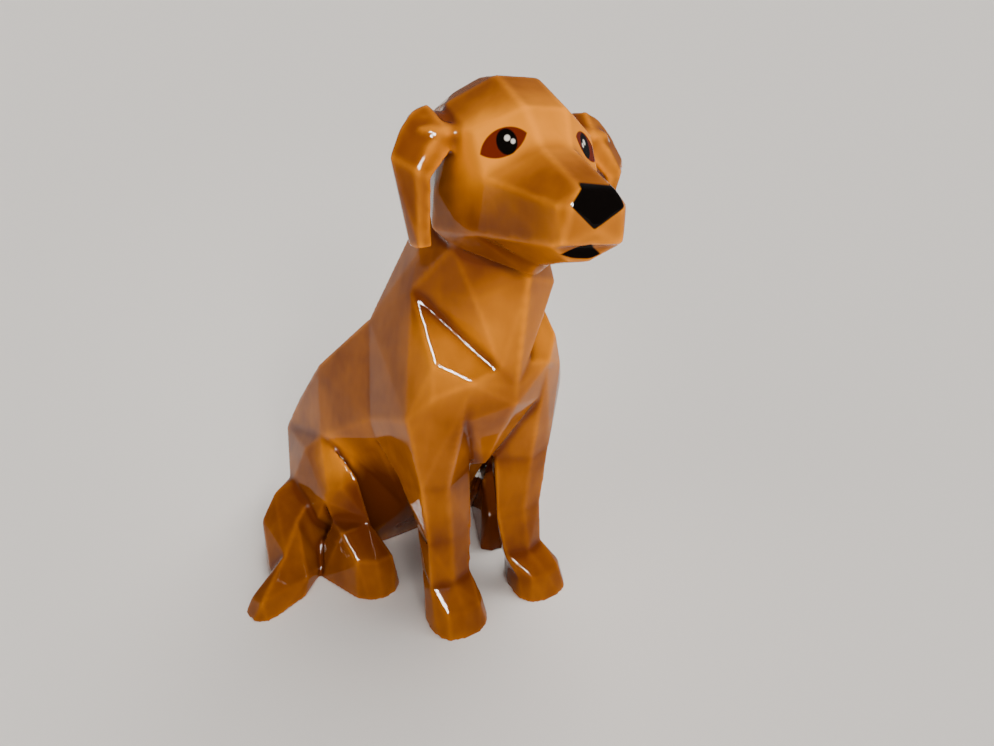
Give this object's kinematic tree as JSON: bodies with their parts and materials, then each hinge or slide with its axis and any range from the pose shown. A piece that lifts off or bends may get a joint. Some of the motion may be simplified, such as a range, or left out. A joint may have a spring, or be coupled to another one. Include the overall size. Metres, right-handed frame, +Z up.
{
  "type": "ceramic dog figurine",
  "caption": "Sitting dog in faceted, folded-paper style, slip-cast in amber glazed ceramic, head turned a little, tail curled round to the front.",
  "frame": {"origin": "middle of the figure's box, on the surface it stands on", "axes": "+Z up, the dog's chest and forelegs face -Y, its own left side is +X"},
  "size_m": [0.217, 0.2858, 0.32],
  "materials": {
    "glaze": "high gloss amber glaze"
  },
  "bodies": {
    "root": {"dog_figure": "glaze"}
  },
  "joints": []
}
